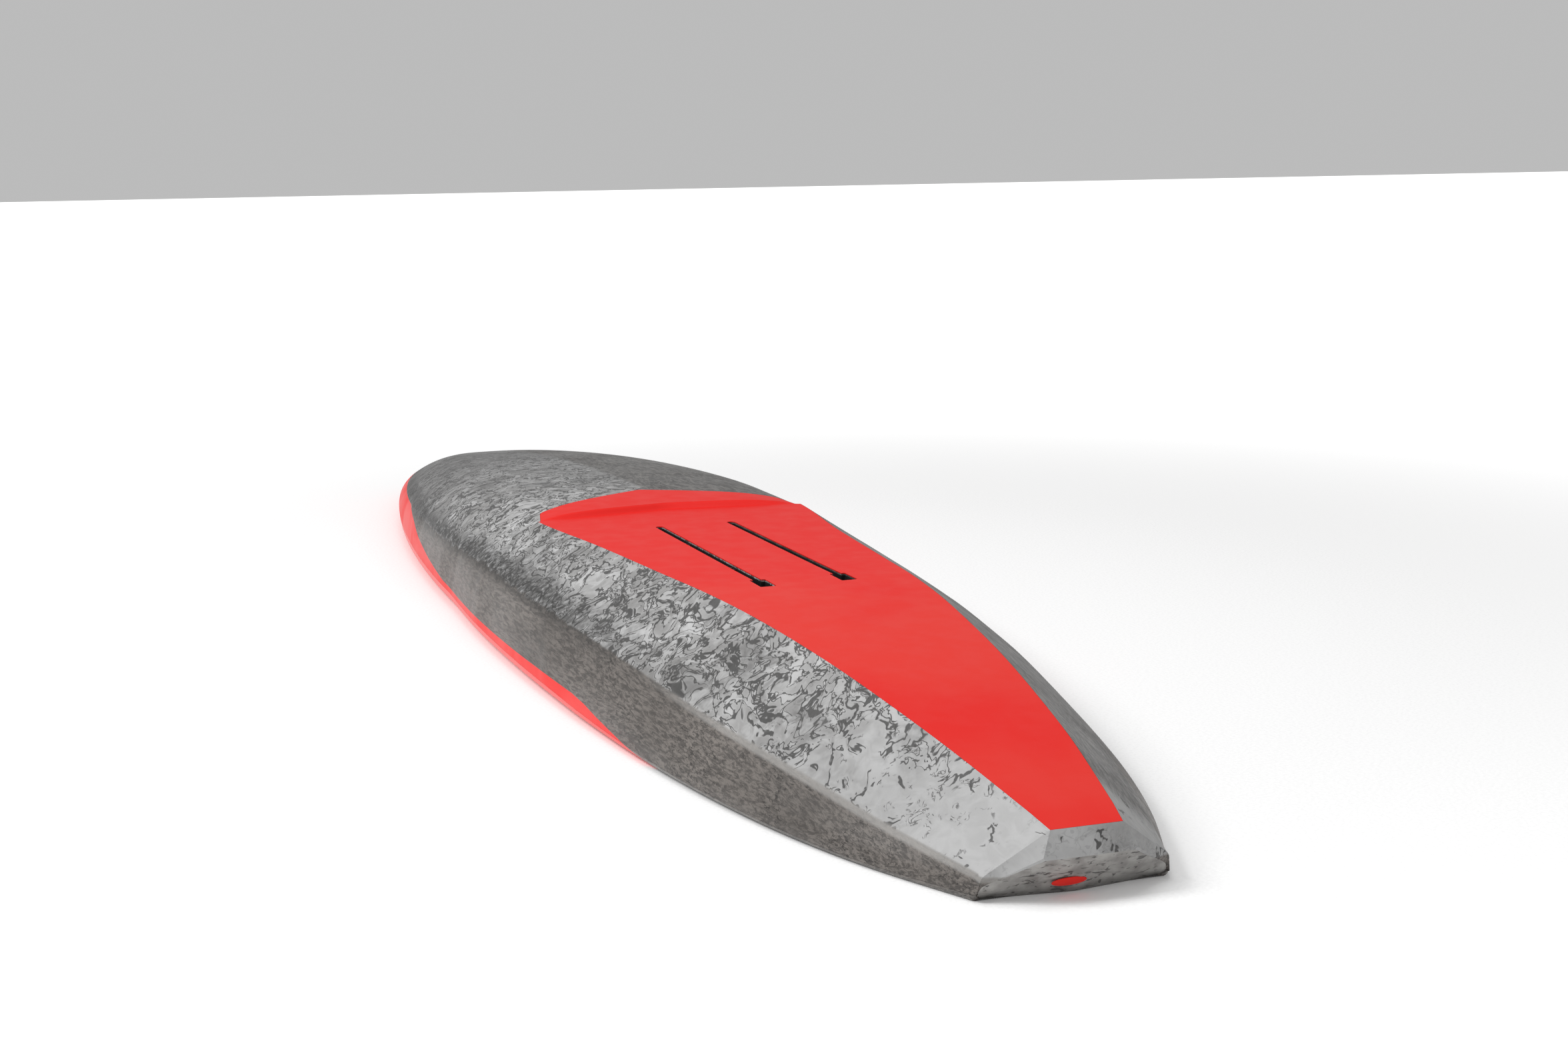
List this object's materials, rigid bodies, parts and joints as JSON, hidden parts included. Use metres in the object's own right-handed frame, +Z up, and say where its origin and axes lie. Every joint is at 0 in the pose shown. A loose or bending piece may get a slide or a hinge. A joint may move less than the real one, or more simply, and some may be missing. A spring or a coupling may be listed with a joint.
{
  "type": "foil board",
  "caption": "Rigid foil board with bevelled bottom, twin foil tracks with sliding nuts, deck pads, carry handle, leash cup and screw vent.",
  "frame": {"origin": "under the middle of the board, on the plane the deck rim rests on, board lying deck down", "axes": "+X from tail to nose, +Y across the board, +Z up out of the bottom"},
  "size_m": [2.438, 0.5042, 0.149],
  "materials": {
    "core_foam": "matt closed-cell foam",
    "stringer_wood": "matt sheet",
    "dense_foam": "matt high-density foam",
    "stiffener_sheet": "matt glass-fibre sandwich sheet",
    "carbon_skin": "satin clear-coated forged carbon",
    "red_paint": "satin red paint",
    "deck_carbon": "satin clear-coated carbon",
    "badge_red": "gloss red",
    "track_plastic": "matt black reinforced plastic",
    "black_steel": "black-finished steel",
    "cup_plastic": "fine-textured black plastic",
    "grip_rubber": "matt soft grip",
    "pin_steel": "stainless",
    "vent_metal": "grey anodised",
    "membrane": "white breathable film",
    "o_ring": "black rubber",
    "insert_brass": "plain brass",
    "eva_pad": "matt brushed foam"
  },
  "bodies": {
    "hull": {"foam_core": "core_foam", "tail_stringer": "stringer_wood", "nose_stringer": "stringer_wood", "track_block": "dense_foam", "handle_block": "dense_foam", "strap_blocks": "dense_foam", "vent_block": "dense_foam", "leash_block": "dense_foam", "deck_stiffener": "stiffener_sheet", "bottom_skin": "carbon_skin", "bottom_panel": "red_paint", "deck_skin": "deck_carbon", "transom_skin": "carbon_skin", "tail_badge": "badge_red", "track_left": "track_plastic", "track_right": "track_plastic", "handle_cup": "cup_plastic", "handle_grip": "grip_rubber", "leash_cup": "cup_plastic", "leash_pin": "pin_steel", "vent_insert": "vent_metal", "vent_membrane": "membrane", "strap_inserts": "insert_brass", "front_pad": "eva_pad", "middle_pad": "eva_pad", "rear_pad": "eva_pad"},
    "track_nut_front_left": {"track_nut_front_left": "black_steel"},
    "track_nut_rear_left": {"track_nut_rear_left": "black_steel"},
    "track_nut_front_right": {"track_nut_front_right": "black_steel"},
    "track_nut_rear_right": {"track_nut_rear_right": "black_steel"},
    "vent_oring": {"vent_oring": "o_ring"},
    "vent_plug": {"vent_plug": "cup_plastic"}
  },
  "joints": [
    {"name": "nut_front_left_slide", "type": "slide", "parent": "hull", "child": "track_nut_front_left", "axis": [1, 0, 0], "range_m": [-0.07, 0.098]},
    {"name": "nut_rear_left_slide", "type": "slide", "parent": "hull", "child": "track_nut_rear_left", "axis": [1, 0, 0], "range_m": [-0.116, 0.07]},
    {"name": "nut_front_right_slide", "type": "slide", "parent": "hull", "child": "track_nut_front_right", "axis": [1, 0, 0], "range_m": [-0.07, 0.098]},
    {"name": "nut_rear_right_slide", "type": "slide", "parent": "hull", "child": "track_nut_rear_right", "axis": [1, 0, 0], "range_m": [-0.116, 0.07]},
    {"name": "vent_plug_lift", "type": "slide", "parent": "hull", "child": "vent_oring", "axis": [0, 0, -1], "range_m": [0, 0.0045]},
    {"name": "vent_plug_turn", "type": "hinge", "parent": "vent_oring", "child": "vent_plug", "pos_m": [0.335, 0, 0.004], "axis": [0, 0, -1], "range_deg": [0, 1080]}
  ],
  "couplings": [
    {"joint": "vent_plug_turn", "follows": "vent_plug_lift", "rad_per_m": 4188.8}
  ]
}
